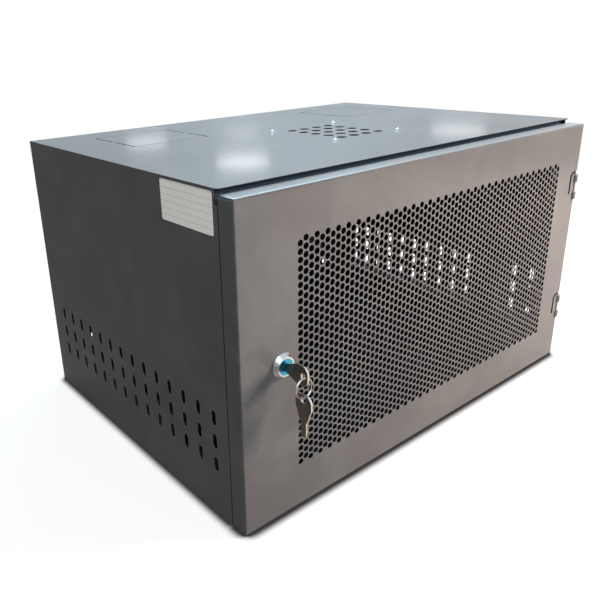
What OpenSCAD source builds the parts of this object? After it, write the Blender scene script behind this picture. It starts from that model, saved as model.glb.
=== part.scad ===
// Six-unit wall cabinet for 19 inch network equipment: a welded sheet-metal body, a perforated
// steel door on two pin hinges, a cam lock with two keys on a ring, mounting rails and a roof fan.
// Millimetres. +X is right seen from the front, -Y is the front, +Z is up, base centre at the origin.

/* [Cabinet] */
// Outside width of the body and the door
cabinet_width = 550; // [530:5:660]
// Overall depth, from the door's face to the wall
cabinet_depth = 400; // [330:5:600]
// Height of the body
cabinet_height = 322; // [320:1:640]
// Thickness of the painted steel sheet
sheet = 1.2; // [0.8:0.1:1.5]
// Outside radius of a bend in the sheet
bend_radius = 2; // [1.8:0.1:3]
// Width of the folded edge beside the door opening
front_return = 25; // [15:1:26]
// How far the rims of the opening stand behind the front edge of the roof
rim_set_back = 8; // [3:0.5:10]
// Height of the rims above and below the door opening
rim_height = 25; // [20:1:35]

/* [Door] */
// Depth of the door tray
door_depth = 19; // [16:0.5:22]
// Gap between the door tray and the body
door_seam = 1; // [0.8:0.1:2]
// Height of the door's lower edge above the base
door_lift = 1; // [0.5:0.1:3]
// How far the door stops below the top of the roof
door_drop = 5; // [3:0.5:8]

/* [Perforation] */
// Diameter of a hole in the door
hole_diameter = 6.2; // [4.5:0.1:6.2]
// Distance between holes in a column
hole_pitch = 7.5; // [7:0.1:9]
// Distance between columns
column_pitch = 6.5; // [6.5:0.1:8]
// Plain door to the left of the holes
left_margin = 66; // [62:1:90]
// Plain door to the right of the holes
right_margin = 48; // [44:1:70]
// Plain door below the holes
lower_margin = 45.5; // [40:0.5:70]
// Plain door above the holes
upper_margin = 41.5; // [30:0.5:70]

/* [Lock] */
// Distance of the lock from the door's left edge
lock_inset = 47.5; // [44:0.5:52]
// Diameter of the lock's cone against the door
rosette_diameter = 24; // [22:0.5:28]
// How far the lock stands in front of the door
rosette_height = 5; // [4:0.5:7]
// Reach of the cam from the lock's axis
cam_reach = 31; // [30:0.5:34]

/* [Keys] */
// Length of a key
key_length = 42.5; // [40:0.5:50]
// Thickness of a key
key_thickness = 2; // [1.6:0.1:2.4]
// Width of a key's bow
bow_width = 19.5; // [18:0.5:22]
// Mean radius of the split ring
ring_radius = 9.2; // [9:0.1:10.5]

/* [Hinges] */
// Height of the upper hinge's middle
upper_hinge_height = 238; // [220:1:260]
// Height of the lower hinge's middle
lower_hinge_height = 73; // [65:1:95]
// Diameter of the hinge pins
pin_diameter = 3.6; // [3:0.1:4]
// Outside diameter of the door's knuckles
knuckle_diameter = 9; // [8:0.1:9.4]
// Outside diameter of the body's knuckle between them
inner_knuckle_diameter = 5.6; // [5:0.1:6.4]

/* [Side slots] */
// Number of slots in a row
slot_columns = 14; // [8:1:14]
// Number of rows
slot_rows = 3; // [1:1:4]
// Length of a slot
slot_length = 15; // [10:0.5:18]
// Width of a slot
slot_width = 6.5; // [3:0.5:8]
// Distance between slots both ways
slot_pitch = 25; // [20:0.5:25]

/* [Fan] */
// Side of the fan's square frame
fan_size = 120; // [110:1:124]
// Depth of the fan's frame
fan_depth = 25; // [22:1:32]
// Distance of the fan from the middle of the roof, to the right
fan_offset = 12; // [-20:1:20]
// Distance of the fan's middle behind the door's face
fan_behind = 173; // [150:1:190]
// Number of blades
blade_count = 7; // [5:1:9]

/* [Cable entries] */
// Width of a knock-out plate
entry_width = 101; // [80:1:110]
// Depth of a knock-out plate
entry_depth = 97; // [80:1:110]
// Half the distance between the middles of the two knock-outs
entry_offset = 168.5; // [155:0.5:172]
// Distance of the pair's middle from the middle of the roof, to the right
entry_shift = 6.5; // [-10:0.5:10]
// Distance of the knock-outs' middle from the wall
entry_from_wall = 94; // [70:1:110]

/* [Hidden] */
$fa = 8;
$fs = 0.6;

// Colours of the plain model
paint = "#4e4e4d";
zinc = "#b9bcbe";
black_paint = "#262627";
black_plastic = "#1d1d1e";
nickel = "#c9ccd0";
paper = "#f1f1ee";

// Clearances shared by the pieces
running_gap = 0.05;
loose_gap = 0.3;
cut = 1;

// Planes of the cabinet
half_width = cabinet_width / 2;
inner_half_width = half_width - sheet;
door_front = -cabinet_depth / 2;
door_rear = door_front + door_depth;
body_front = door_rear + door_seam;
wall_plane = cabinet_depth / 2;
body_depth = wall_plane - body_front;
roof_under = cabinet_height - sheet;
panel_height = roof_under - sheet;
mid_height = cabinet_height / 2;
rim_plane = body_front + rim_set_back;
rim_fold = 8;
roof_corner = 4;
return_trim = 12;

// Rails of the 19 inch system
rack_unit = 44.45;
unit_holes = [6.35, 22.225, 38.1];
rack_hole_offset = 232.55;
rack_opening = 450;
square_hole = 9.5;
rail_sheet = 2;
rail_flange = 22;
rail_leg = 40;
rail_behind = 70;
rail_overrun = 4;
rack_units = floor((cabinet_height - 2 * rim_height) / rack_unit);
rail_length = rack_units * rack_unit + 2 * rail_overrun;
rail_bottom = mid_height - rail_length / 2;
rail_front = door_front + rail_behind;
rail_inner = rack_opening / 2;
rail_outer = rail_inner + rail_flange;

// Supports between the rails and the side panels
support_sheet = 1.5;
support_height = 26;
support_clear = 2;
support_start = rim_plane + bend_radius + rim_fold + support_clear;
support_end = wall_plane - sheet - support_clear;
support_inset = 10;
support_low = rail_bottom + support_inset;
support_high = rail_bottom + rail_length - support_inset;
support_slots = 5;
support_slot_share = 0.75;

// Metric fasteners
bolt_diameter = 6;
bolt_hole = 6.6;
bolt_head = 4;
bolt_flats = 10;
bolt_reach = 13;
nut_height = 5;
bolt_plane = rail_front + rail_leg / 2;
fan_screw_spacing = fan_size * 0.875;
fan_screw_diameter = 4;
fan_screw_hole = 4.6;
fan_screw_head = 8;
fan_screw_rise = 2.4;
fan_nut_flats = 7;
fan_nut_height = 3.2;
fan_flange = 4;

// Fan
fan_y = door_front + fan_behind;
fan_bottom = roof_under - fan_depth;
fan_bore_radius = fan_size / 2 - 3;
fan_wall = 2.2;
fan_corner = 4;
motor_radius = 21;
motor_plate = 3;
strut_width = 5;
spindle_radius = 1.5;
rotor_gap = 1.2;
hub_radius = 19;
hub_bottom = fan_bottom + motor_plate + rotor_gap;
hub_top = roof_under - 3;
hub_shell = 2;
hub_boss_radius = 4;
blade_tip = fan_bore_radius - 1.5;
blade_sheet = 1.6;
blade_chord = 10;
blade_rise = hub_top - hub_bottom - 2;
blade_curve = 26;
grille_columns = 4;
grille_rows = 5;
grille_hole = 12;
grille_pitch = 20.5;

// Cable entries
entry_line = 2;
entry_bridge = 8;

// Side vents
vent_behind = 41.7;
vent_height = 57.5;

// Wall mounting
wall_hole = 9;
wall_spacing_x = 450;
wall_spacing_z = cabinet_height - 102;

// Door
door_bottom = door_lift;
door_top = cabinet_height - door_drop;
door_height = door_top - door_bottom;
door_sheet_rear = door_front + sheet;
door_corner = 3;
perforated_columns = floor((cabinet_width - left_margin - right_margin) / column_pitch);
perforated_rows = floor((door_height - lower_margin - upper_margin - hole_pitch / 2) / hole_pitch);
field_left = -half_width + left_margin;
field_bottom = door_bottom + lower_margin;
field_width = perforated_columns * column_pitch;
field_height = (perforated_rows + 0.5) * hole_pitch;
panel_columns = 6;
line_width = 0.16;
line_depth = 0.02;

// Hinges
pin_x = half_width - 2.5;
leaf_sheet = 2;
pin_y = door_sheet_rear + leaf_sheet / 2;
knuckle_radius = knuckle_diameter / 2;
inner_knuckle_radius = inner_knuckle_diameter / 2;
body_knuckle = 12;
door_knuckle = 9;
hinge_gap = 0.4;
hinge_height = body_knuckle + 2 * (door_knuckle + hinge_gap);
pin_overrun = 0.6;
door_leaf_width = 26;
strap_pad_height = 30;
strap_pad_length = 40;
strap_x = inner_half_width - leaf_sheet;
slit_width = 3.6;
slit_inset = 17;
slit_rise = 21;
slit_fall = 8;
slit_depth = 3;

// Lock
lock_x = -half_width + lock_inset;
lock_z = mid_height;
lock_front = door_front - rosette_height;
rosette_front_radius = 9.3;
plug_head_radius = 7.7;
plug_head_depth = 2;
plug_radius = 5.5;
barrel_radius = 8;
barrel_end = body_front + 1;
plug_end = barrel_end + 1.4;
cam_sheet = 2;
cam_width = 14;
cam_square = 6;
cam_rear = plug_end + cam_sheet;
cam_screw_head = 2.4;
cam_screw_head_radius = 4.5;
cam_screw_radius = 1.5;
cam_screw_length = 8;
lock_nut_flats = 22;
lock_nut_height = 3.5;
keyway_gap = 0.15;
keyway_depth = 19;

// Keys and ring
blade_height = 7;
shoulder_half = 4.6;
bow_stand = 32.5;
bow_length = 19;
bow_corner = 7;
bow_hole_radius = 3;
bow_hole_rim = 5.5;
bow_end = door_front - bow_stand;
bow_hole_y = bow_end + bow_hole_rim;
shoulder_y = lock_front - 0.6;
bit_step = 2.6;
bit_count = 4;
bit_size = 0.9;
wire_radius = 0.5;
coil_offset = 0.42;
hang_gap = 0.35;
ring_top_drop = bow_hole_radius - wire_radius - hang_gap;
ring_z = lock_z - ring_top_drop - ring_radius;
ring_bottom = ring_z - ring_radius;
spare_hole_z = ring_bottom - ring_top_drop;

// Label
label_sheet = 0.3;
label_width = 77;
label_height = 36.5;
label_corner = 2;
label_from_front = 26.5;
label_drop = 3;

// Stands a drawing in XZ upright, its sheet running from y_start towards +Y.
module upright_xz(y_start, thickness) {
  translate([0, y_start + thickness, 0])
    rotate([90, 0, 0])
      linear_extrude(thickness)
        children();
}

// Stands a drawing in YZ upright, its sheet running from x_start towards +X.
module upright_yz(x_start, thickness) {
  translate([x_start, 0, 0])
    rotate([90, 0, 90])
      linear_extrude(thickness)
        children();
}

// Turns a piece drawn round Z to lie along Y, its base at y_start and its top towards +Y.
module along_y(x, y_start, z) {
  translate([x, y_start, z])
    rotate([-90, 0, 0])
      children();
}

// A round-ended slot that runs along the drawing's second axis.
module obround(length, width) {
  square([width, length - width], center = true);
  for (side = [-1, 1])
    translate([0, side * (length - width) / 2])
      circle(d = width);
}

// A quarter of a bent sheet, in the first quadrant round the bend's centre.
module quarter_bend(outer, thickness) {
  intersection() {
    difference() {
      circle(outer);
      circle(outer - thickness);
    }
    square(outer);
  }
}

// A rectangle with rounded corners.
module rounded_plate(width, height, radius) {
  square([width, height - 2 * radius], center = true);
  square([width - 2 * radius, height], center = true);
  for (x = [-1, 1], y = [-1, 1])
    translate([x * (width / 2 - radius), y * (height / 2 - radius)])
      circle(radius);
}

// A rectangle whose two front corners are rounded; the first axis runs from front to rear.
module fronted_profile(low, high, front, rear, radius) {
  translate([front + radius, low])
    square([rear - front - radius, high - low]);
  translate([front, low + radius])
    square([rear - front, high - low - 2 * radius]);
  for (corner = [low + radius, high - radius])
    translate([front + radius, corner])
      circle(radius);
}

// A hexagon measured across its flats.
module hexagon(flats) {
  circle(d = flats / cos(30), $fn = 6);
}

// Plan of a side panel: the wall with its folded edge at the front.
module side_profile() {
  translate([-half_width, body_front + bend_radius])
    square([sheet, body_depth - bend_radius]);
  translate([-half_width + bend_radius, body_front])
    square([front_return - bend_radius, sheet]);
  translate([-half_width + bend_radius, body_front + bend_radius])
    rotate(180)
      quarter_bend(bend_radius, sheet);
}

// Vents of a side wall, drawn as distance along Y and height.
module side_vents() {
  for (column = [0 : slot_columns - 1], row = [0 : slot_rows - 1])
    translate([door_front + vent_behind + column * slot_pitch, vent_height + row * slot_pitch])
      obround(slot_length, slot_width);
}

// A side wall, its folded edge trimmed under the roof so that the rim shows across the full width.
module side_wall() {
  difference() {
    translate([0, 0, sheet])
      linear_extrude(panel_height)
        side_profile();
    translate([-half_width - cut, body_front - cut, roof_under - return_trim])
      cube([front_return + 2 * cut, roof_corner + cut, return_trim + cut]);
    upright_yz(-half_width - cut, sheet + 2 * cut)
      side_vents();
  }
}

module left_side_panel() {
  color(paint)
    side_wall();
}

// The right wall has an opening in its folded edge for each hinge strap.
module right_side_panel() {
  strap_side = leaf_sheet + 2 * hinge_gap;
  strap_height = body_knuckle + 2 * hinge_gap;
  color(paint)
    difference() {
      mirror([1, 0, 0])
        side_wall();
      for (z = [lower_hinge_height, upper_hinge_height])
        translate([strap_x - hinge_gap, body_front - cut, z - strap_height / 2])
          cube([strap_side, bend_radius + 2 * cut, strap_height]);
    }
}

// Four corner cuts that leave a plate hanging on a bridge in the middle of each side.
module knockout_lines() {
  difference() {
    square([entry_width, entry_depth], center = true);
    square([entry_width - 2 * entry_line, entry_depth - 2 * entry_line], center = true);
    square([entry_width + cut, entry_bridge], center = true);
    square([entry_bridge, entry_depth + cut], center = true);
  }
}

// The plan shared by roof and floor.
module horizontal_sheet() {
  difference() {
    mirror([1, -1, 0])
      fronted_profile(-half_width, half_width, body_front, wall_plane, roof_corner);
    for (side = [-1, 1])
      translate([entry_shift + side * entry_offset, wall_plane - entry_from_wall])
        knockout_lines();
  }
}

// Places children at the four screws of the fan.
module at_fan_screws() {
  for (x = [-1, 1], y = [-1, 1])
    translate([fan_offset + x * fan_screw_spacing / 2, fan_y + y * fan_screw_spacing / 2])
      children();
}

module fan_grille() {
  for (column = [0 : grille_columns - 1], row = [0 : grille_rows - 1])
    translate([
      fan_offset + (column - (grille_columns - 1) / 2) * grille_pitch,
      fan_y + (row - (grille_rows - 1) / 2) * grille_pitch
    ])
      circle(d = grille_hole);
}

module top_panel() {
  color(paint)
    translate([0, 0, roof_under])
      linear_extrude(sheet)
        difference() {
          horizontal_sheet();
          fan_grille();
          at_fan_screws()
            circle(d = fan_screw_hole);
        }
}

module bottom_panel() {
  color(paint)
    linear_extrude(sheet)
      horizontal_sheet();
}

module back_panel() {
  color(paint)
    upright_xz(wall_plane - sheet, sheet)
      difference() {
        translate([-inner_half_width, sheet])
          square([2 * inner_half_width, panel_height]);
        for (x = [-1, 1], z = [-1, 1])
          translate([x * wall_spacing_x / 2, mid_height + z * wall_spacing_z / 2])
            circle(d = wall_hole);
      }
}

// Section of a rim: a strip beside the opening with a stiffening fold that points inwards.
module rim_profile() {
  translate([rim_plane, 0])
    square([sheet, rim_height - bend_radius]);
  translate([rim_plane + bend_radius, rim_height - bend_radius])
    rotate(90)
      quarter_bend(bend_radius, sheet);
  translate([rim_plane + bend_radius, rim_height - sheet])
    square([rim_fold, sheet]);
}

module front_rim() {
  upright_yz(-inner_half_width, 2 * inner_half_width)
    rim_profile();
}

module front_bottom_rim() {
  color(paint)
    translate([0, 0, sheet])
      front_rim();
}

module front_top_rim() {
  color(paint)
    translate([0, 0, roof_under])
      mirror([0, 0, 1])
        front_rim();
}

// Plan of the right rail: a flange for the equipment and a leg along the side.
module rail_profile() {
  translate([rail_inner, rail_front])
    square([rail_flange - bend_radius - rail_sheet, rail_sheet]);
  translate([rail_outer - rail_sheet, rail_front + bend_radius + rail_sheet])
    square([rail_sheet, rail_leg - bend_radius - rail_sheet]);
  translate([rail_outer - bend_radius - rail_sheet, rail_front + bend_radius + rail_sheet])
    rotate(-90)
      quarter_bend(bend_radius + rail_sheet, rail_sheet);
}

module rail_squares() {
  first_unit = rail_bottom + rail_overrun;
  for (unit = [0 : rack_units - 1], hole = unit_holes)
    translate([rack_hole_offset, first_unit + unit * rack_unit + hole])
      square(square_hole, center = true);
}

module rail() {
  difference() {
    translate([0, 0, rail_bottom])
      linear_extrude(rail_length)
        rail_profile();
    upright_xz(rail_front - cut, rail_sheet + 2 * cut)
      rail_squares();
    upright_yz(rail_outer - rail_sheet - cut, rail_sheet + 2 * cut)
      for (z = [support_low, support_high])
        translate([bolt_plane, z])
          circle(d = bolt_hole);
  }
}

module right_rail() {
  color(black_paint)
    rail();
}

module left_rail() {
  color(black_paint)
    mirror([1, 0, 0])
      rail();
}

// Section of a right support, open towards the side panel.
module support_profile() {
  reach = inner_half_width - rail_outer;
  half = support_height / 2;
  translate([0, -half + bend_radius])
    square([support_sheet, support_height - 2 * bend_radius]);
  for (side = [-1, 1]) {
    translate([bend_radius, side * half - (side + 1) / 2 * support_sheet])
      square([reach - bend_radius, support_sheet]);
    translate([bend_radius, side * (half - bend_radius)])
      rotate(side > 0 ? 90 : 180)
        quarter_bend(bend_radius, support_sheet);
  }
}

module support(z) {
  run = support_end - support_start;
  step = run / support_slots;
  difference() {
    translate([rail_outer, support_start + run, z])
      rotate([90, 0, 0])
        linear_extrude(run)
          support_profile();
    upright_yz(rail_outer - cut, support_sheet + 2 * cut)
      for (index = [0 : support_slots - 1])
        translate([support_start + (index + 0.5) * step, z])
          rotate(90)
            obround(step * support_slot_share, bolt_hole);
  }
}

module right_upper_support() {
  color(black_paint)
    support(support_high);
}

module right_lower_support() {
  color(black_paint)
    support(support_low);
}

module left_upper_support() {
  color(black_paint)
    mirror([1, 0, 0])
      support(support_high);
}

module left_lower_support() {
  color(black_paint)
    mirror([1, 0, 0])
      support(support_low);
}

// Places children at the four rail bolts, drawn round Z and turned to point outwards.
module at_rail_bolts() {
  for (side = [0, 1], z = [support_low, support_high])
    mirror([side, 0, 0])
      translate([rail_outer - rail_sheet, bolt_plane, z])
        rotate([0, 90, 0])
          children();
}

module rail_bolts() {
  color(zinc)
    at_rail_bolts() {
      translate([0, 0, -bolt_head])
        linear_extrude(bolt_head)
          hexagon(bolt_flats);
      cylinder(d = bolt_diameter, h = bolt_reach);
    }
}

module rail_nuts() {
  color(zinc)
    at_rail_bolts()
      translate([0, 0, rail_sheet + support_sheet])
        linear_extrude(nut_height)
          difference() {
            hexagon(bolt_flats);
            circle(d = bolt_diameter + 2 * running_gap);
          }
}

// Outline of the fan's mounting flange with its bore and screw holes.
module fan_flange_plan() {
  difference() {
    rounded_plate(fan_size, fan_size, fan_corner);
    circle(fan_bore_radius);
    for (x = [-1, 1], y = [-1, 1])
      translate([x * fan_screw_spacing / 2, y * fan_screw_spacing / 2])
        circle(d = fan_screw_hole);
  }
}

// The frame carries the motor on four struts below the rotor.
module fan_frame() {
  color(black_plastic)
    translate([fan_offset, fan_y, fan_bottom]) {
      for (z = [0, fan_depth - fan_flange])
        translate([0, 0, z])
          linear_extrude(fan_flange)
            fan_flange_plan();
      translate([0, 0, fan_flange])
        linear_extrude(fan_depth - 2 * fan_flange)
          difference() {
            circle(fan_bore_radius + fan_wall);
            circle(fan_bore_radius);
          }
      cylinder(r = motor_radius, h = motor_plate);
      for (turn = [45 : 90 : 315])
        rotate(turn)
          translate([motor_radius - 2, -strut_width / 2, 0])
            cube([fan_bore_radius - motor_radius + 3, strut_width, motor_plate]);
      cylinder(r = spindle_radius, h = fan_depth - 6);
    }
}

// Curved plate between hub and tip, cut to the rotor's height.
module fan_blade() {
  half_span = sqrt(pow(blade_chord, 2) + pow(blade_rise / 2, 2));
  sag = sqrt(pow(blade_curve, 2) - pow(half_span, 2));
  centre_y = -sag * blade_rise / 2 / half_span;
  centre_z = blade_rise / 2 + sag * blade_chord / half_span;
  intersection() {
    translate([hub_radius - 1, centre_y, centre_z])
      rotate([0, 90, 0])
        difference() {
          cylinder(r = blade_curve, h = fan_size / 2);
          translate([0, 0, -cut])
            cylinder(r = blade_curve - blade_sheet, h = fan_size / 2 + 2 * cut);
        }
    translate([0, -blade_chord, 0])
      cube([fan_size / 2, 2 * blade_chord, blade_rise]);
    cylinder(r = blade_tip, h = blade_rise);
  }
}

module fan_rotor() {
  hub_height = hub_top - hub_bottom;
  color(black_plastic)
    translate([fan_offset, fan_y, hub_bottom])
      difference() {
        union() {
          cylinder(r = hub_radius, h = hub_height);
          for (index = [0 : blade_count - 1])
            rotate(index * 360 / blade_count)
              translate([0, 0, 1])
                fan_blade();
        }
        translate([0, 0, -cut])
          difference() {
            cylinder(r = hub_radius - hub_shell, h = hub_height - hub_shell + cut);
            cylinder(r = hub_boss_radius, h = hub_height);
          }
        translate([0, 0, -cut])
          cylinder(r = spindle_radius + running_gap, h = hub_height - hub_shell + cut);
      }
}

// A pan head with a cross recess, standing on Z = 0.
module pan_head(diameter, rise) {
  dome = (pow(diameter / 2, 2) + pow(rise, 2)) / (2 * rise);
  slot = diameter / 6;
  difference() {
    intersection() {
      cylinder(d = diameter, h = rise);
      translate([0, 0, rise - dome])
        sphere(dome);
    }
    for (turn = [0, 90])
      translate([0, 0, rise])
        rotate(turn)
          cube([diameter * 0.6, slot, rise], center = true);
  }
}

module fan_screws() {
  shank = sheet + fan_flange + fan_nut_height + 1;
  color(nickel)
    at_fan_screws()
      translate([0, 0, cabinet_height]) {
        pan_head(fan_screw_head, fan_screw_rise);
        translate([0, 0, -shank])
          cylinder(d = fan_screw_diameter, h = shank + fan_screw_rise / 4);
      }
}

module fan_nuts() {
  color(zinc)
    at_fan_screws()
      translate([0, 0, roof_under - fan_flange - fan_nut_height])
        linear_extrude(fan_nut_height)
          difference() {
            hexagon(fan_nut_flats);
            circle(d = fan_screw_diameter + 2 * running_gap);
          }
}

// A strap from the knuckle to a pad on the inside of the right wall.
module body_leaf(z) {
  pad_start = body_front + bend_radius + cut;
  translate([0, 0, z])
    difference() {
      union() {
        translate([pin_x, pin_y, -body_knuckle / 2])
          cylinder(r = inner_knuckle_radius, h = body_knuckle);
        upright_yz(strap_x, leaf_sheet) {
          translate([pin_y, -body_knuckle / 2])
            square([pad_start - pin_y + cut, body_knuckle]);
          translate([pad_start, -strap_pad_height / 2])
            square([strap_pad_length, strap_pad_height]);
        }
      }
      translate([pin_x, pin_y, -body_knuckle / 2 - cut])
        cylinder(d = pin_diameter, h = body_knuckle + 2 * cut);
    }
}

module upper_body_leaf() {
  color(paint)
    body_leaf(upper_hinge_height);
}

module lower_body_leaf() {
  color(paint)
    body_leaf(lower_hinge_height);
}

module hinge_pin(z) {
  length = hinge_height + 2 * pin_overrun;
  translate([pin_x, pin_y, z - length / 2])
    cylinder(d = pin_diameter, h = length);
}

module upper_hinge_pin() {
  color(black_paint)
    hinge_pin(upper_hinge_height);
}

module lower_hinge_pin() {
  color(black_paint)
    hinge_pin(lower_hinge_height);
}

// The door's leaf lies behind the face, with a knuckle above and below the body's.
module door_leaf(z) {
  middle = body_knuckle + 2 * hinge_gap;
  clear = inner_knuckle_radius + hinge_gap;
  translate([0, 0, z])
    difference() {
      union() {
        for (side = [-1, 1])
          translate([pin_x, pin_y, side * (hinge_height - door_knuckle) / 2 - door_knuckle / 2])
            cylinder(r = knuckle_radius, h = door_knuckle);
        translate([pin_x - door_leaf_width, door_sheet_rear, -hinge_height / 2])
          cube([door_leaf_width, leaf_sheet, hinge_height]);
      }
      translate([pin_x - clear, pin_y - knuckle_diameter, -middle / 2])
        cube([clear + knuckle_diameter, 2 * knuckle_diameter, middle]);
      translate([pin_x, pin_y, -hinge_height / 2 - cut])
        cylinder(d = pin_diameter + 2 * running_gap, h = hinge_height + 2 * cut);
    }
}

module upper_door_leaf() {
  color(paint)
    door_leaf(upper_hinge_height);
}

module lower_door_leaf() {
  color(paint)
    door_leaf(lower_hinge_height);
}

module side_label() {
  color(paper)
    upright_yz(-half_width - label_sheet, label_sheet)
      translate([
        door_front + label_from_front + label_width / 2,
        cabinet_height - label_drop - label_height / 2
      ])
        rounded_plate(label_width, label_height, label_corner);
}

// Solid block with the door's rounded face and corners, shrunk by inset.
module door_block(inset, rear) {
  radius = bend_radius - inset;
  intersection() {
    upright_xz(door_front, rear - door_front)
      translate([0, (door_bottom + door_top) / 2])
        rounded_plate(cabinet_width - 2 * inset, door_height - 2 * inset, door_corner - inset);
    translate([0, 0, door_bottom + inset])
      linear_extrude(door_height - 2 * inset)
        mirror([1, -1, 0])
          fronted_profile(-half_width + inset, half_width - inset, door_front + inset, rear, radius);
    upright_yz(-half_width + inset, cabinet_width - 2 * inset)
      fronted_profile(door_bottom + inset, door_top - inset, door_front + inset, rear, radius);
  }
}

// A panel of the perforated field, with every second column half a pitch higher.
module perforated_panel(first) {
  columns = min(panel_columns, perforated_columns - first);
  difference() {
    panel_outline(first, columns);
    for (index = [first : first + columns - 1], row = [0 : perforated_rows - 1])
      translate([
        field_left + (index + 0.5) * column_pitch,
        field_bottom + (row + 0.5 + index % 2 / 2) * hole_pitch
      ])
        circle(d = hole_diameter);
  }
}

// The metal of a panel between its marking lines.
module panel_outline(first, columns) {
  translate([field_left + first * column_pitch + line_width / 2, field_bottom + line_width / 2])
    square([columns * column_pitch - line_width, field_height - line_width]);
}

// The whole field: panels at full thickness, joined along the marking lines between them.
module perforated_field() {
  starts = [0 : panel_columns : perforated_columns - 1];
  for (first = starts)
    upright_xz(door_front, sheet)
      perforated_panel(first);
  upright_xz(door_front + line_depth, sheet - 2 * line_depth)
    difference() {
      translate([field_left, field_bottom])
        square([field_width, field_height]);
      for (first = starts)
        panel_outline(first, min(panel_columns, perforated_columns - first));
    }
}

// The relief cut beside a hinge: up from its lower end, round, and out to the door's edge.
module hinge_slit() {
  left = half_width - slit_inset;
  turn = 2 * slit_width;
  translate([left, -slit_fall])
    square([slit_width, slit_fall + slit_rise - turn]);
  translate([left + turn, slit_rise - turn])
    rotate(90)
      quarter_bend(turn, slit_width);
  translate([left + turn, slit_rise - slit_width])
    square([slit_inset - turn + cut, slit_width]);
}

// Clears the knuckles of a hinge at the door's right edge, drawn from the front.
module hinge_notch() {
  edge = half_width - pin_x;
  outer = edge + knuckle_radius + hinge_gap;
  inner = edge + inner_knuckle_radius + hinge_gap;
  height = hinge_height + 2 * (pin_overrun + hinge_gap);
  translate([half_width - inner, -height / 2])
    square([inner + cut, height]);
  for (side = [-1, 1])
    translate([half_width - outer, side * (hinge_height - door_knuckle) / 2 - door_knuckle / 2 - hinge_gap])
      square([outer + cut, door_knuckle + 2 * hinge_gap]);
}

module door_tray() {
  difference() {
    door_block(0, door_rear);
    door_block(sheet, door_rear + cut);
    upright_xz(door_front - cut, sheet + 2 * cut) {
      translate([field_left, field_bottom])
        square([field_width, field_height]);
      translate([lock_x, lock_z])
        circle(barrel_radius + loose_gap);
    }
    for (z = [lower_hinge_height, upper_hinge_height])
      translate([0, 0, z]) {
        upright_xz(door_front - cut, slit_depth + cut)
          hinge_slit();
        upright_xz(door_front - cut, door_depth + 2 * cut)
          hinge_notch();
      }
  }
}

module door_panel() {
  color(paint) {
    door_tray();
    perforated_field();
  }
}

// Housing of the lock: a cone on the door's face and a round barrel behind it.
module lock_body() {
  color(nickel)
    along_y(lock_x, lock_front, lock_z)
      rotate_extrude()
        polygon([
          [plug_head_radius + running_gap, 0],
          [rosette_front_radius, 0],
          [rosette_diameter / 2, rosette_height - 1],
          [rosette_diameter / 2, rosette_height],
          [barrel_radius, rosette_height],
          [barrel_radius, barrel_end - lock_front],
          [plug_radius + running_gap, barrel_end - lock_front],
          [plug_radius + running_gap, plug_head_depth],
          [plug_head_radius + running_gap, plug_head_depth]
        ]);
}

module lock_nut() {
  color(nickel)
    along_y(lock_x, door_sheet_rear, lock_z)
      linear_extrude(lock_nut_height)
        difference() {
          hexagon(lock_nut_flats);
          circle(barrel_radius + running_gap);
        }
}

// The turning core, with its keyway in front and a square for the cam behind.
module lock_plug() {
  head_end = plug_head_depth - running_gap;
  core_end = plug_end - lock_front;
  color(nickel)
    along_y(lock_x, lock_front, lock_z)
      difference() {
        union() {
          cylinder(r = plug_head_radius, h = head_end);
          cylinder(r = plug_radius, h = core_end);
          translate([-cam_square / 2, -cam_square / 2, core_end - cut])
            cube([cam_square, cam_square, cam_sheet + cut]);
        }
        translate([
          -key_thickness / 2 - keyway_gap,
          -blade_height / 2 - keyway_gap,
          -cut
        ])
          cube([key_thickness + 2 * keyway_gap, blade_height + 2 * keyway_gap, keyway_depth + cut]);
        translate([0, 0, core_end + cam_sheet - cam_screw_length])
          cylinder(r = cam_screw_radius, h = cam_screw_length + cut);
      }
}

// A flat tongue that points up while the lock is open.
module lock_cam() {
  half = cam_width / 2;
  color(zinc)
    upright_xz(plug_end, cam_sheet)
      translate([lock_x, lock_z])
        difference() {
          union() {
            circle(half);
            translate([-half, 0])
              square([cam_width, cam_reach - half]);
            translate([0, cam_reach - half])
              circle(half);
          }
          square(cam_square, center = true);
        }
}

module cam_screw() {
  color(zinc)
    along_y(lock_x, cam_rear, lock_z) {
      pan_head(2 * cam_screw_head_radius, cam_screw_head);
      translate([0, 0, -cam_screw_length])
        cylinder(r = cam_screw_radius, h = cam_screw_length + cam_screw_head / 4);
    }
}

// Side view of a key, its bow's end at zero and its tip along the first axis.
module key_outline() {
  neck = shoulder_y - bow_end;
  taper_start = bow_length - bow_corner;
  difference() {
    union() {
      translate([bow_length / 2, 0])
        rounded_plate(bow_length, bow_width, bow_corner);
      polygon([
        [taper_start, -bow_width / 2],
        [neck, -shoulder_half],
        [neck, shoulder_half],
        [taper_start, bow_width / 2]
      ]);
      translate([neck - cut, -blade_height / 2])
        square([key_length - neck + cut - blade_height / 2, blade_height]);
      translate([key_length - blade_height / 2, 0])
        circle(d = blade_height);
    }
    translate([bow_hole_rim, 0])
      circle(bow_hole_radius);
    for (index = [1 : bit_count])
      translate([key_length - blade_height / 2 - index * bit_step, blade_height / 2])
        rotate(45)
          square((1 + index % 2) * bit_size, center = true);
  }
}

module key() {
  color(nickel)
    translate([0, bow_end, lock_z])
      upright_yz(lock_x - key_thickness / 2, key_thickness)
        key_outline();
}

// Two turns of wire, pressed together into a groove.
module split_ring() {
  color(nickel)
    along_y(lock_x, bow_hole_y, ring_z)
      rotate_extrude()
        for (side = [-1, 1])
          translate([ring_radius, side * coil_offset])
            circle(wire_radius);
}

module spare_key() {
  color(nickel)
    translate([0, bow_hole_y, spare_hole_z + bow_hole_rim])
      rotate([-90, 0, 0])
        upright_yz(lock_x - key_thickness / 2, key_thickness)
          key_outline();
}

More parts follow.
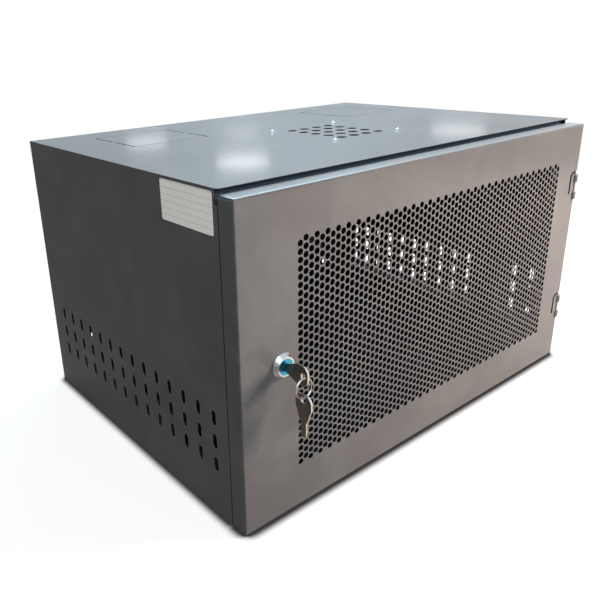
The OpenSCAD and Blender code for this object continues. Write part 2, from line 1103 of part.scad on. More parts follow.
left_side_panel();
right_side_panel();
top_panel();
bottom_panel();
back_panel();
front_top_rim();
front_bottom_rim();
left_rail();
right_rail();
left_upper_support();
left_lower_support();
right_upper_support();
right_lower_support();
rail_bolts();
rail_nuts();
fan_frame();
fan_screws();
fan_nuts();
upper_body_leaf();
lower_body_leaf();
upper_hinge_pin();
lower_hinge_pin();
side_label();
door_panel();
upper_door_leaf();
lower_door_leaf();
lock_body();
lock_nut();
lock_plug();
lock_cam();
cam_screw();
key();
split_ring();
spare_key();
fan_rotor();
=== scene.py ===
"""Looks of a wall-mounted network cabinet: finishes, fine pieces, studio light and camera."""

import logging
import math
from dataclasses import dataclass
from enum import Enum

import bpy
from mathutils import Matrix, Vector


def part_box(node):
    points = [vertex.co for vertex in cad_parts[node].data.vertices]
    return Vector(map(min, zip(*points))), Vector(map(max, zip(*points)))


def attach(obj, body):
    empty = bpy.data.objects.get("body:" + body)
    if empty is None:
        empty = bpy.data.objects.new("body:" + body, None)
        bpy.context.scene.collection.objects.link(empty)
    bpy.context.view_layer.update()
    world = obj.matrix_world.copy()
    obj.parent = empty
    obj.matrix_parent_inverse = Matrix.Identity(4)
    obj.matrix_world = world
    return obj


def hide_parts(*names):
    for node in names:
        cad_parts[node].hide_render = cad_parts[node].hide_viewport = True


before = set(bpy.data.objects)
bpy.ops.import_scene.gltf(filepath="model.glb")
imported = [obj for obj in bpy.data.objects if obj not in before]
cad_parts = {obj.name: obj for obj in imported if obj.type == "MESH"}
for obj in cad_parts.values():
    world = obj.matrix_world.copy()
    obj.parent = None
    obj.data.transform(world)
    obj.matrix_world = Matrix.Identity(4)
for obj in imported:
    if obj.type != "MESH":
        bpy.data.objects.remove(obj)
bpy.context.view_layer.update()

LOG = logging.getLogger("cabinet")
MM = 0.001
WHITE = "#ffffff"
# Strength at which a white light shows as plain white.
WHITE_LIGHT = 1.0

# Points nearer than this are one.
MERGE_GAP = 0.001 * MM
# Faces within the first angle are one flat, and edges under the second are shaded smooth.
FLAT_ANGLE = math.radians(1)
SMOOTH_ANGLE = math.radians(30)
# Edges over this angle are rounded, with so many facets.
EDGE_ANGLE = math.radians(35)
EDGE_FACETS = 2
# Shares of a direction along an axis: below the first it runs across, above the second along it.
ACROSS = 0.01
ALONG = 0.9999


class Slot(Enum):
    """Material slots of the record."""

    POWDER_COAT = "powder_coat"
    NICKEL = "nickel"


def linear(code: str) -> tuple[float, float, float, float]:
    """Turns an sRGB hex value into a linear colour.

    Args:
        code: Colour written as six hex digits after a hash.

    Returns:
        Red, green, blue and alpha, linear.
    """
    levels = [int(code[place:place + 2], 16) / 255 for place in (1, 3, 5)]
    curve = [
        level / 12.92 if level <= 0.04045 else ((level + 0.055) / 1.055) ** 2.4 for level in levels
    ]
    return curve[0], curve[1], curve[2], 1.0


def add_node(
    tree: bpy.types.NodeTree,
    kind: str,
    settings: dict | None = None,
    links: dict | None = None,
) -> bpy.types.Node:
    """Adds a shader node with its settings and links.

    Args:
        tree: Node tree of the material or the world.
        kind: Blender's type name of the node.
        settings: Node attributes by name, and input values by name or number.
        links: Output sockets to join, by the name or number of the input.

    Returns:
        The new node.
    """
    node = tree.nodes.new(kind)
    for key, value in (settings or {}).items():
        if isinstance(key, str) and hasattr(node, key):
            setattr(node, key, value)
        else:
            node.inputs[key].default_value = value
    for key, socket in (links or {}).items():
        tree.links.new(socket, node.inputs[key])
    return node


def new_material(name: str) -> tuple[bpy.types.Material, bpy.types.NodeTree]:
    """Makes an empty node material.

    Args:
        name: Name of the material.

    Returns:
        The material and its node tree.
    """
    material = bpy.data.materials.new(name)
    material.use_nodes = True
    material.node_tree.nodes.clear()
    return material, material.node_tree


def finish_material(tree: bpy.types.NodeTree, shader: bpy.types.Node) -> None:
    """Joins a shader to the material's output.

    Args:
        tree: Node tree of the material.
        shader: Node whose first output is the surface.
    """
    add_node(tree, "ShaderNodeOutputMaterial", links={"Surface": shader.outputs[0]})


@dataclass(frozen=True)
class ShadedHollow:
    """Limits of a hollow, where the sheet shows its inner face and the walls of its holes, which the
    coat paints dark as shade.
    """

    half_width: float
    front: float
    rear: float
    bottom: float
    top: float

    def mask(self, tree: bpy.types.NodeTree, place: bpy.types.NodeSocket) -> bpy.types.NodeSocket:
        """Adds nodes that give 1 on faces inside the hollow and 0 outside.

        Args:
            tree: Node tree of the material.
            place: Object coordinates.

        Returns:
            Socket with the mask.
        """
        split = add_node(tree, "ShaderNodeSeparateXYZ", links={0: place})
        width = add_node(tree, "ShaderNodeMath", {"operation": "ABSOLUTE"}, {0: split.outputs[0]})
        tests = (
            ("LESS_THAN", width.outputs[0], self.half_width),
            ("GREATER_THAN", split.outputs[1], self.front),
            ("LESS_THAN", split.outputs[1], self.rear),
            ("GREATER_THAN", split.outputs[2], self.bottom),
            ("LESS_THAN", split.outputs[2], self.top),
        )
        result = None
        for operation, socket, limit in tests:
            test = add_node(tree, "ShaderNodeMath", {"operation": operation, 1: limit}, {0: socket})
            if result is None:
                result = test.outputs[0]
                continue
            both = add_node(
                tree, "ShaderNodeMath", {"operation": "MULTIPLY"}, {0: result, 1: test.outputs[0]}
            )
            result = both.outputs[0]
        return result


DOOR_LOW, DOOR_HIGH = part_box("door_panel")
FLOOR_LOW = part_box("bottom_panel")[0]
ROOF_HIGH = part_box("top_panel")[1]
# The plane between the door and the body.
PARTING = (DOOR_HIGH.y + FLOOR_LOW.y) / 2
# How deep the outer colour reaches before the painted shade of the inside: half the sheet, and less in
# the body's slots and the door's holes.
SKIN = 0.6 * MM
SLOT_SKIN = 0.4 * MM
HOLE_SKIN = 0.5 * MM
# The cabinet behind its front edge, whose faces take a painted shade.
BAY_SHADE = ShadedHollow(
    half_width=ROOF_HIGH.x - SLOT_SKIN,
    front=PARTING,
    rear=ROOF_HIGH.y - SKIN,
    bottom=FLOOR_LOW.z + SKIN,
    top=ROOF_HIGH.z - SLOT_SKIN,
)
# The tray of the door, whose inner faces take a painted shade.
TRAY_SHADE = ShadedHollow(
    half_width=DOOR_HIGH.x - SKIN,
    front=DOOR_LOW.y + HOLE_SKIN,
    rear=PARTING,
    bottom=DOOR_LOW.z + SKIN,
    top=DOOR_HIGH.z - SKIN,
)


@dataclass(frozen=True)
class PowderCoat:
    """Polyester powder coat, sprayed and baked: satin, with a fine orange peel and faint smears."""

    name: str = "satin_powder_coat"
    colour: str = "#504e4c"
    roughness: float = 0.4
    specular: float = 0.15
    gloss_share: float = 0.35
    gloss_roughness: float = 0.095
    # Painted shade: the near black colour of faces inside the cabinet and the door's tray, and of the
    # walls of holes.
    inside: str = "#10151a"
    inside_matt: float = 0.3
    smear: str = "#5a5855"
    smear_roughness: float = 0.5
    smear_mm: float = 60.0
    smear_detail: float = 5.0
    smear_grain: float = 0.6
    smear_warp: float = 0.6
    smear_range: tuple[float, float] = (0.42, 0.72)
    peel_mm: float = 1.4
    peel_detail: float = 2.0
    peel_bump: float = 0.12
    peel_depth_mm: float = 0.08
    # Painted light: a paler, bluish colour on faces turned up, for the sky light that they catch.
    painted_top_light: str = "#939899"
    painted_top_light_share: float = 0.0
    painted_top_light_slope: float = 0.9

    def smears(self, tree: bpy.types.NodeTree, place: bpy.types.NodeSocket) -> bpy.types.NodeSocket:
        """Adds the pattern of the smears.

        Args:
            tree: Node tree of the material.
            place: Object coordinates.

        Returns:
            Socket with 0 on clean coat and 1 on a smear.
        """
        noise = add_node(
            tree,
            "ShaderNodeTexNoise",
            {
                "Scale": 1 / (self.smear_mm * MM),
                "Detail": self.smear_detail,
                "Roughness": self.smear_grain,
                "Distortion": self.smear_warp,
            },
            {"Vector": place},
        )
        low, high = self.smear_range
        amount = add_node(
            tree,
            "ShaderNodeMapRange",
            {"From Min": low, "From Max": high},
            {"Value": noise.outputs[0]},
        )
        return amount.outputs[0]

    def paint_top_light(
        self,
        tree: bpy.types.NodeTree,
        facing: bpy.types.NodeSocket,
        under: bpy.types.NodeSocket,
    ) -> bpy.types.NodeSocket:
        """Paints light on the faces that are turned up: a paler, bluish colour for the sky light that
        they catch.

        Args:
            tree: Node tree of the material.
            facing: Normal in the object's own frame.
            under: Colour below the painted light.

        Returns:
            Socket with the colour.
        """
        split = add_node(tree, "ShaderNodeSeparateXYZ", links={0: facing})
        upward = add_node(
            tree,
            "ShaderNodeMath",
            {"operation": "GREATER_THAN", 1: self.painted_top_light_slope},
            {0: split.outputs[2]},
        )
        share = add_node(
            tree,
            "ShaderNodeMath",
            {"operation": "MULTIPLY", 1: self.painted_top_light_share},
            {0: upward.outputs[0]},
        )
        top_lit = add_node(
            tree,
            "ShaderNodeMix",
            {"data_type": "RGBA", 7: linear(self.painted_top_light)},
            {0: share.outputs[0], 6: under},
        )
        return top_lit.outputs[2]

    def orange_peel(
        self, tree: bpy.types.NodeTree, place: bpy.types.NodeSocket
    ) -> bpy.types.NodeSocket:
        """Adds the fine waves that the coat sets in.

        Args:
            tree: Node tree of the material.
            place: Object coordinates.

        Returns:
            Socket with the normal.
        """
        noise = add_node(
            tree,
            "ShaderNodeTexNoise",
            {"Scale": 1 / (self.peel_mm * MM), "Detail": self.peel_detail},
            {"Vector": place},
        )
        bump = add_node(
            tree,
            "ShaderNodeBump",
            {"Strength": self.peel_bump, "Distance": self.peel_depth_mm * MM},
            {"Height": noise.outputs[0]},
        )
        return bump.outputs[0]

    def material(self) -> bpy.types.Material:
        """Builds the coat: matt on inner faces, which a painted shade makes dark, and with painted
        light on faces turned up if so chosen.

        Returns:
            The material.
        """
        material, tree = new_material(self.name)
        texture = add_node(tree, "ShaderNodeTexCoord")
        place = texture.outputs["Object"]
        # Faces inside the cabinet or the door's tray take the painted shade.
        either = add_node(
            tree,
            "ShaderNodeMath",
            {"operation": "MAXIMUM"},
            {0: BAY_SHADE.mask(tree, place), 1: TRAY_SHADE.mask(tree, place)},
        )
        inside = either.outputs[0]
        smeared = self.smears(tree, place)
        outer = add_node(
            tree,
            "ShaderNodeMix",
            {"data_type": "RGBA", 6: linear(self.colour), 7: linear(self.smear)},
            {0: smeared},
        )
        colour = add_node(
            tree,
            "ShaderNodeMix",
            {"data_type": "RGBA", 7: linear(self.inside)},
            {0: inside, 6: self.paint_top_light(tree, texture.outputs["Normal"], outer.outputs[2])},
        )
        gloss = add_node(
            tree,
            "ShaderNodeMapRange",
            {"To Min": self.roughness, "To Max": self.smear_roughness},
            {"Value": smeared},
        )
        matt = add_node(
            tree,
            "ShaderNodeMath",
            {"operation": "MULTIPLY_ADD", 1: self.inside_matt},
            {0: inside, 2: gloss.outputs[0]},
        )
        shader = add_node(
            tree,
            "ShaderNodeBsdfPrincipled",
            {
                "Specular IOR Level": self.specular,
                "Coat Weight": self.gloss_share,
                "Coat Roughness": self.gloss_roughness,
            },
            {
                "Base Color": colour.outputs[2],
                "Roughness": matt.outputs[0],
                "Normal": self.orange_peel(tree, place),
            },
        )
        finish_material(tree, shader)
        return material


# Powder coat of the panels: a satin grey, with a near black painted shade inside.
PANEL_COAT = PowderCoat()
# The same coat on the upper rim, whose inner colour is a painted shade with a painted blue reflection:
# a dark blue grey, for the light between roof and door.
RIM_SHADE_COAT = PowderCoat("rim_coat_painted_shade", inside="#2c3944")
# The same coat on the door, where a painted light makes the faces turned up, the upper lip among them,
# pale.
DOOR_COAT = PowderCoat("door_coat_painted_top_light", painted_top_light_share=0.45)


@dataclass(frozen=True)
class SmoothSurface:
    """A surface with slight mottling and a fine bump: plating, blacking or moulded plastic."""

    name: str
    colour: str
    mottle: str
    roughness: float
    grain_mm: float
    mottle_mm: float
    metallic: float = 1.0
    rough_spread: float = 0.06
    bump: float = 0.05
    bump_depth_mm: float = 0.05
    grain_detail: float = 3.0
    grain_range: tuple[float, float] = (0.3, 0.7)
    mottle_detail: float = 4.0
    stretch: tuple[float, float, float] = (1.0, 1.0, 1.0)

    def material(self) -> bpy.types.Material:
        """Builds the surface from two noises: one for colour and gloss, one for grain.

        Returns:
            The material.
        """
        material, tree = new_material(self.name)
        place = add_node(tree, "ShaderNodeTexCoord").outputs["Object"]
        drawn = add_node(tree, "ShaderNodeMapping", {"Scale": self.stretch}, {"Vector": place})
        patch = add_node(
            tree,
            "ShaderNodeTexNoise",
            {"Scale": 1 / (self.mottle_mm * MM), "Detail": self.mottle_detail},
            {"Vector": place},
        )
        grain = add_node(
            tree,
            "ShaderNodeTexNoise",
            {"Scale": 1 / (self.grain_mm * MM), "Detail": self.grain_detail},
            {"Vector": drawn.outputs[0]},
        )
        colour = add_node(
            tree,
            "ShaderNodeMix",
            {"data_type": "RGBA", 6: linear(self.colour), 7: linear(self.mottle)},
            {0: patch.outputs[0]},
        )
        low, high = self.grain_range
        gloss = add_node(
            tree,
            "ShaderNodeMapRange",
            {
                "From Min": low,
                "From Max": high,
                "To Min": self.roughness - self.rough_spread,
                "To Max": self.roughness + self.rough_spread,
            },
            {"Value": grain.outputs[0]},
        )
        bump = add_node(
            tree,
            "ShaderNodeBump",
            {"Strength": self.bump, "Distance": self.bump_depth_mm * MM},
            {"Height": grain.outputs[0]},
        )
        shader = add_node(
            tree,
            "ShaderNodeBsdfPrincipled",
            {"Metallic": self.metallic},
            {
                "Base Color": colour.outputs[2],
                "Roughness": gloss.outputs[0],
                "Normal": bump.outputs[0],
            },
        )
        finish_material(tree, shader)
        return material


# Bright nickel plate over pressed brass: mirror-like, with hair lines from wear.
BRIGHT_NICKEL = SmoothSurface(
    "bright_nickel",
    "#f0f0f0",
    "#e2e5e8",
    roughness=0.16,
    grain_mm=0.5,
    mottle_mm=6.0,
    stretch=(1.0, 6.0, 1.0),
)
# Drawn and plated wire: a soft, pale shine all round.
NICKEL_WIRE = SmoothSurface(
    "nickel_wire", "#ede7dd", "#dfd8cd", roughness=0.38, grain_mm=0.3, mottle_mm=3.0
)
# Zinc coloured cyan as a painted reflection of a blue sky on the lock plug: a silver that shines cyan.
CYAN_PAINTED_ZINC = SmoothSurface(
    "zinc_painted_cyan_reflection", "#4cc3e0", "#3aa9cb", roughness=0.28, grain_mm=0.4, mottle_mm=4.0
)
# Zinc plate on mild steel: a dull, slightly cloudy silver.
ZINC_PLATE = SmoothSurface(
    "zinc_plate",
    "#a9acae",
    "#bcc0c2",
    roughness=0.42,
    grain_mm=0.8,
    mottle_mm=9.0,
    rough_spread=0.08,
    bump=0.08,
)
# Blackened steel: near black, with a low sheen.
BLACKED_STEEL = SmoothSurface(
    "blacked_steel",
    "#1b1b1c",
    "#262627",
    roughness=0.45,
    grain_mm=0.7,
    mottle_mm=12.0,
    metallic=0.0,
    bump=0.1,
)
# Glass-filled plastic of a fan, moulded with a fine spark texture: black, without a mirror.
MOULDED_BLACK = SmoothSurface(
    "moulded_black",
    "#131314",
    "#1a1a1b",
    roughness=0.5,
    grain_mm=0.5,
    mottle_mm=15.0,
    metallic=0.0,
    rough_spread=0.05,
    bump=0.15,
)


@dataclass(frozen=True)
class KeyPlateWithPaintedLight:
    """Key blank: flat faces a darker, duller nickel, partly its own tone and partly painted shade, and
    milled edges painted bright as a highlight.
    """

    name: str = "key_plate_painted_light"
    # Faces: darker, partly the nickel's own tone and partly painted shade. Edges: a painted highlight.
    face: str = "#948a80"
    edge: str = "#f2ece2"
    face_share: float = 0.8
    scratch_mm: float = 0.6
    scratch_detail: float = 3.0
    gloss_range: tuple[float, float] = (0.18, 0.34)

    def material(self) -> bpy.types.Material:
        """Builds the metal, split by the way that a surface faces in the key's own frame: painted
        shade on the faces, a painted highlight on the edges.

        Returns:
            The material.
        """
        material, tree = new_material(self.name)
        place = add_node(tree, "ShaderNodeTexCoord")
        split = add_node(tree, "ShaderNodeSeparateXYZ", links={0: place.outputs["Normal"]})
        sideways = add_node(
            tree, "ShaderNodeMath", {"operation": "ABSOLUTE"}, {0: split.outputs[0]}
        )
        flat = add_node(
            tree,
            "ShaderNodeMath",
            {"operation": "GREATER_THAN", 1: self.face_share},
            {0: sideways.outputs[0]},
        )
        scratch = add_node(
            tree,
            "ShaderNodeTexNoise",
            {"Scale": 1 / (self.scratch_mm * MM), "Detail": self.scratch_detail},
            {"Vector": place.outputs["Object"]},
        )
        colour = add_node(
            tree,
            "ShaderNodeMix",
            {"data_type": "RGBA", 6: linear(self.edge), 7: linear(self.face)},
            {0: flat.outputs[0]},
        )
        low, high = self.gloss_range
        gloss = add_node(
            tree,
            "ShaderNodeMapRange",
            {"To Min": low, "To Max": high},
            {"Value": scratch.outputs[0]},
        )
        shader = add_node(
            tree,
            "ShaderNodeBsdfPrincipled",
            {"Metallic": 1.0},
            {"Base Color": colour.outputs[2], "Roughness": gloss.outputs[0]},
        )
        finish_material(tree, shader)
        return material


@dataclass(frozen=True)
class LabelFilm:
    """White polyester film, satin, with faint ruled lines."""

    name: str = "label_film"
    paper: str = "#fbf5ea"
    rule: str = "#b6b4ae"
    line_mm: float = 6.0
    line_share: float = 0.05
    roughness: float = 0.35

    def material(self) -> bpy.types.Material:
        """Builds the film with faint level rules.

        Returns:
            The material.
        """
        material, tree = new_material(self.name)
        place = add_node(tree, "ShaderNodeTexCoord").outputs["Object"]
        split = add_node(tree, "ShaderNodeSeparateXYZ", links={0: place})
        rows = add_node(
            tree,
            "ShaderNodeMath",
            {"operation": "MULTIPLY", 1: 1 / (self.line_mm * MM)},
            {0: split.outputs[2]},
        )
        part = add_node(tree, "ShaderNodeMath", {"operation": "FRACT"}, {0: rows.outputs[0]})
        ruled = add_node(
            tree,
            "ShaderNodeMath",
            {"operation": "LESS_THAN", 1: self.line_share},
            {0: part.outputs[0]},
        )
        colour = add_node(
            tree,
            "ShaderNodeMix",
            {"data_type": "RGBA", 6: linear(self.paper), 7: linear(self.rule)},
            {0: ruled.outputs[0]},
        )
        shader = add_node(
            tree,
            "ShaderNodeBsdfPrincipled",
            {"Roughness": self.roughness},
            {"Base Color": colour.outputs[2]},
        )
        finish_material(tree, shader)
        return material


def dress(names: tuple[str, ...], material: bpy.types.Material) -> None:
    """Gives CAD nodes a finish.

    Args:
        names: Names of the nodes.
        material: The finish.
    """
    for name in names:
        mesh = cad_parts[name].data
        if not mesh.materials:
            mesh.materials.append(material)
        for place in range(len(mesh.materials)):
            mesh.materials[place] = material
        LOG.info("dressed %s in %s", name, material.name)


def select_only(piece: bpy.types.Object) -> None:
    """Deselects all and makes one piece active.

    Args:
        piece: The piece.
    """
    bpy.ops.object.select_all(action="DESELECT")
    piece.select_set(True)
    bpy.context.view_layer.objects.active = piece


def apply_modifiers(piece: bpy.types.Object) -> None:
    """Applies the modifiers of a piece in order.

    Args:
        piece: The piece.
    """
    select_only(piece)
    for modifier in list(piece.modifiers):
        bpy.ops.object.modifier_apply(modifier=modifier.name)


def merged_copy(node: str, name: str, join_flats: bool = True) -> bpy.types.Object:
    """Copies a CAD node as a new piece with its doubled points merged.

    Args:
        node: Name of the CAD node.
        name: Name of the new piece.
        join_flats: Whether the triangles of a flat are joined to one face.

    Returns:
        The new piece.
    """
    piece = bpy.data.objects.new(name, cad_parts[node].data.copy())
    bpy.context.scene.collection.objects.link(piece)
    select_only(piece)
    bpy.ops.object.mode_set(mode="EDIT")
    bpy.ops.mesh.select_all(action="SELECT")
    bpy.ops.mesh.remove_doubles(threshold=MERGE_GAP)
    if join_flats:
        bpy.ops.mesh.dissolve_limited(angle_limit=FLAT_ANGLE)
    bpy.ops.object.mode_set(mode="OBJECT")
    return piece


def round_edges(piece: bpy.types.Object, width: float) -> None:
    """Rounds the sharp edges of a piece.

    Args:
        piece: The piece.
        width: Width of the rounding.
    """
    select_only(piece)
    bpy.ops.object.shade_smooth_by_angle(angle=SMOOTH_ANGLE)
    bevel = piece.modifiers.new("rounding", "BEVEL")
    bevel.width = width
    bevel.segments = EDGE_FACETS
    bevel.limit_method = "ANGLE"
    bevel.angle_limit = EDGE_ANGLE
    bevel.harden_normals = True
    apply_modifiers(piece)


def adopt(
    piece: bpy.types.Object, node: str, body: str, finish: bpy.types.Material
) -> None:
    """Puts a finished piece in the place of a CAD node.

    Args:
        piece: The piece.
        node: Name of the CAD node that it replaces.
        body: Body that the piece moves with.
        finish: Its material.
    """
    piece.data.materials.clear()
    piece.data.materials.append(finish)
    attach(piece, body)
    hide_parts(node)
    LOG.info("built %s", piece.name)


def soften(node: str, body: str, finish: bpy.types.Material, width: float) -> None:
    """Replaces a CAD node by a copy with rounded edges.

    Args:
        node: Name of the CAD node.
        body: Body that the piece moves with.
        finish: Its material.
        width: Width of the rounding.
    """
    piece = merged_copy(node, "soft_" + node)
    round_edges(piece, width)
    adopt(piece, node, body, finish)


@dataclass
class CabinetBody:
    """Welded sheet-metal body with its rails, hinges and label."""

    edge_mm: float = 0.35
    outer_panels: tuple[str, ...] = ("left_side_panel", "right_side_panel", "top_panel")
    panels: tuple[str, ...] = ("bottom_panel", "back_panel", "front_bottom_rim")
    rails: tuple[str, ...] = (
        "left_rail",
        "right_rail",
        "left_upper_support",
        "left_lower_support",
        "right_upper_support",
        "right_lower_support",
    )
    fasteners: tuple[str, ...] = ("rail_bolts", "rail_nuts")
    leaves: tuple[str, ...] = ("upper_body_leaf", "lower_body_leaf")
    pins: tuple[str, ...] = ("upper_hinge_pin", "lower_hinge_pin")

    def build(
        self, coat: bpy.types.Material, black: bpy.types.Material, zinc: bpy.types.Material
    ) -> None:
        """Dresses the body.

        Args:
            coat: Powder coat.
            black: Blackened steel.
            zinc: Zinc plate.
        """
        for node in self.outer_panels:
            soften(node, "cabinet", coat, self.edge_mm * MM)
        dress(self.panels + self.leaves, coat)
        # The rim's dark blue grey is a painted shade with a painted blue reflection.
        dress(("front_top_rim",), RIM_SHADE_COAT.material())
        dress(self.rails + self.pins, black)
        dress(self.fasteners, zinc)
        dress(("side_label",), LabelFilm().material())


@dataclass
class PerforatedDoor:
    """Perforated tray with its hinge leaves."""

    leaves: tuple[str, ...] = ("upper_door_leaf", "lower_door_leaf")
    sheet_mm: float = 1.2
    edge_mm: float = 0.25
    # The plate behind the relief cut of a hinge.
    backing_mm: float = 1.0
    backing_reach_mm: float = 18.0
    backing_rise_mm: float = 7.0
    # The margins of the field of holes, and the facets round a hole of the CAD tray.
    lock_strip_mm: float = 62.0
    border_mm: float = 38.0
    hole_facets: int = 42
    longest_facet_mm: float = 0.5
    rim_slack_mm: float = 0.01
    # No facet of a bend is larger than this.
    small_face_mm2: float = 1.0

    def build_leaf(self, node: str, coat: bpy.types.Material) -> None:
        """Carries a hinge leaf up behind the relief cut of the door, so that the cut is closed.

        Args:
            node: Name of the leaf's CAD node.
            coat: Powder coat.
        """
        leaf = merged_copy(node, "full_" + node)
        door_low, door_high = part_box("door_panel")
        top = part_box(node)[1].z
        wall = self.sheet_mm * MM
        size = Vector((self.backing_reach_mm, self.backing_mm, 2 * self.backing_rise_mm)) * MM
        middle = Vector((door_high.x - wall - size.x / 2, door_low.y + wall + size.y / 2, top))
        bpy.ops.object.mode_set(mode="EDIT")
        bpy.ops.mesh.select_all(action="DESELECT")
        bpy.ops.mesh.primitive_cube_add(size=1.0, location=middle, scale=size)
        bpy.ops.object.mode_set(mode="OBJECT")
        round_edges(leaf, self.edge_mm * MM)
        adopt(leaf, node, "door", coat)

    def rim_edges(self, mesh: bpy.types.Mesh) -> list[bpy.types.MeshEdge]:
        """Finds every second edge round the rims of the small holes, front and rear alike.

        Args:
            mesh: Mesh of the tray.

        Returns:
            The edges.
        """
        low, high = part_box("door_panel")
        left, right = low.x + self.lock_strip_mm * MM, high.x - self.border_mm * MM
        bottom, top = low.z + self.border_mm * MM, high.z - self.border_mm * MM
        edges = {edge.key: edge for edge in mesh.edges}
        points = mesh.vertices
        chosen = []
        for face in mesh.polygons:
            middle = face.center
            inside = left < middle.x < right and bottom < middle.z < top
            if not inside or abs(face.normal.y) > ACROSS:
                continue
            turn = math.atan2(face.normal.z, face.normal.x) / (2 * math.pi) * self.hole_facets
            if math.floor(turn) % 2:
                continue
            for key in face.edge_keys:
                along = points[key[1]].co - points[key[0]].co
                level = abs(along.y) < self.rim_slack_mm * MM
                if level and along.length < self.longest_facet_mm * MM:
                    chosen.append(edges[key])
        return chosen

    def keep_flats(self, panel: bpy.types.Object) -> None:
        """Shades the bends of the tray round and its flats flat.

        Args:
            panel: The tray.
        """
        # The copied normals belong to the finer mesh.
        bpy.ops.mesh.customdata_custom_splitnormals_clear()
        bpy.ops.object.shade_smooth_by_angle(angle=SMOOTH_ANGLE)
        bpy.ops.object.mode_set(mode="EDIT")
        bpy.ops.mesh.select_mode(type="FACE")
        bpy.ops.mesh.select_all(action="DESELECT")
        bpy.ops.object.mode_set(mode="OBJECT")
        for face in panel.data.polygons:
            front_or_rear = abs(face.normal.y) > ALONG
            large = face.area > self.small_face_mm2 * MM * MM
            square_on = max(abs(part) for part in face.normal) > ALONG
            face.select = front_or_rear or (large and square_on)
        bpy.ops.object.mode_set(mode="EDIT")
        bpy.ops.mesh.region_to_loop()
        bpy.ops.mesh.mark_sharp()
        bpy.ops.mesh.select_mode(type="VERT")
        bpy.ops.object.mode_set(mode="OBJECT")

    def build_panel(self, coat: bpy.types.Material) -> None:
        """Copies the tray with half as many facets round each hole, which keeps the mesh light.

        Args:
            coat: Powder coat.
        """
        panel = merged_copy("door_panel", "light_door_panel", join_flats=False)
        bpy.ops.object.mode_set(mode="EDIT")
        bpy.ops.mesh.select_mode(type="EDGE")
        bpy.ops.mesh.select_all(action="DESELECT")
        bpy.ops.object.mode_set(mode="OBJECT")
        for edge in self.rim_edges(panel.data):
            edge.select = True
        bpy.ops.object.mode_set(mode="EDIT")
        bpy.ops.mesh.merge(type="COLLAPSE")
        bpy.ops.object.mode_set(mode="OBJECT")
        self.keep_flats(panel)
        adopt(panel, "door_panel", "door", coat)

    def build(self, coat: bpy.types.Material) -> None:
        """Makes the tray and its hinge leaves.

        Args:
            coat: Powder coat.
        """
        self.build_panel(coat)
        for node in self.leaves:
            self.build_leaf(node, coat)


@dataclass
class CamLock:
    """Cam lock with two pressed keys on a split ring."""

    edge_mm: float = 0.3
    key_pieces: tuple[str, ...] = ("key", "spare_key")
    steel_pieces: tuple[str, ...] = ("lock_cam", "cam_screw")
    wire_mm: float = 0.86
    ring_turns: int = 2
    turn_share: float = 0.96
    wire_points: int = 10
    ring_steps: int = 48
    wire_angle: float = math.radians(50)

    def build_ring(self, wire_finish: bpy.types.Material) -> None:
        """Winds the split ring from one length of round wire.

        Args:
            wire_finish: Plated wire.
        """
        low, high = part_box("split_ring")
        middle = (low + high) / 2
        wire = self.wire_mm * MM
        radius = (high.x - low.x - wire) / 2
        bpy.ops.object.select_all(action="DESELECT")
        bpy.ops.mesh.primitive_circle_add(
            vertices=self.wire_points,
            radius=wire / 2,
            location=(radius, 0.0, -self.ring_turns * wire / 2),
            rotation=(math.pi / 2, 0.0, 0.0),
        )
        ring = bpy.context.active_object
        ring.name = "split_ring_coil"
        bpy.ops.object.transform_apply(location=True, rotation=True, scale=True)
        coil = ring.modifiers.new("coil", "SCREW")
        coil.axis = "Z"
        coil.angle = 2 * math.pi * self.turn_share
        coil.iterations = self.ring_turns
        coil.screw_offset = wire
        coil.steps = self.ring_steps
        coil.render_steps = self.ring_steps
        apply_modifiers(ring)
        bpy.ops.object.mode_set(mode="EDIT")
        bpy.ops.mesh.select_all(action="DESELECT")
        bpy.ops.mesh.select_non_manifold()
        bpy.ops.mesh.fill_holes(sides=self.wire_points)
        bpy.ops.mesh.select_all(action="SELECT")
        bpy.ops.mesh.normals_make_consistent(inside=False)
        bpy.ops.object.mode_set(mode="OBJECT")
        ring.rotation_euler = (math.pi / 2, 0.0, 0.0)
        ring.location = middle
        bpy.ops.object.transform_apply(location=True, rotation=True, scale=True)
        bpy.ops.object.shade_smooth_by_angle(angle=self.wire_angle)
        adopt(ring, "split_ring", "key_ring", wire_finish)

    def build(self, nickel: bpy.types.Material, zinc: bpy.types.Material) -> None:
        """Dresses the lock and makes its keys and ring.

        Args:
            nickel: Bright nickel plate.
            zinc: Zinc plate.
        """
        dress(("lock_nut",), nickel)
        dress(self.steel_pieces, zinc)
        edge = self.edge_mm * MM
        soften("lock_body", "door", nickel, edge)
        # The lock plug's cyan is a painted reflection of a blue sky.
        soften("lock_plug", "lock_core", CYAN_PAINTED_ZINC.material(), edge)
        plate = KeyPlateWithPaintedLight().material()
        for node in self.key_pieces:
            soften(node, node, plate, edge)
        self.build_ring(NICKEL_WIRE.material())


@dataclass
class RoofFan:
    """Fan under the roof with its screws."""

    mouldings: tuple[str, ...] = ("fan_frame", "fan_rotor")
    screws: tuple[str, ...] = ("fan_screws",)
    nuts: tuple[str, ...] = ("fan_nuts",)

    def build(
        self, plastic: bpy.types.Material, nickel: bpy.types.Material, zinc: bpy.types.Material
    ) -> None:
        """Dresses the fan.

        Args:
            plastic: Moulded black plastic.
            nickel: Bright nickel plate.
            zinc: Zinc plate.
        """
        dress(self.mouldings, plastic)
        dress(self.screws, nickel)
        dress(self.nuts, zinc)


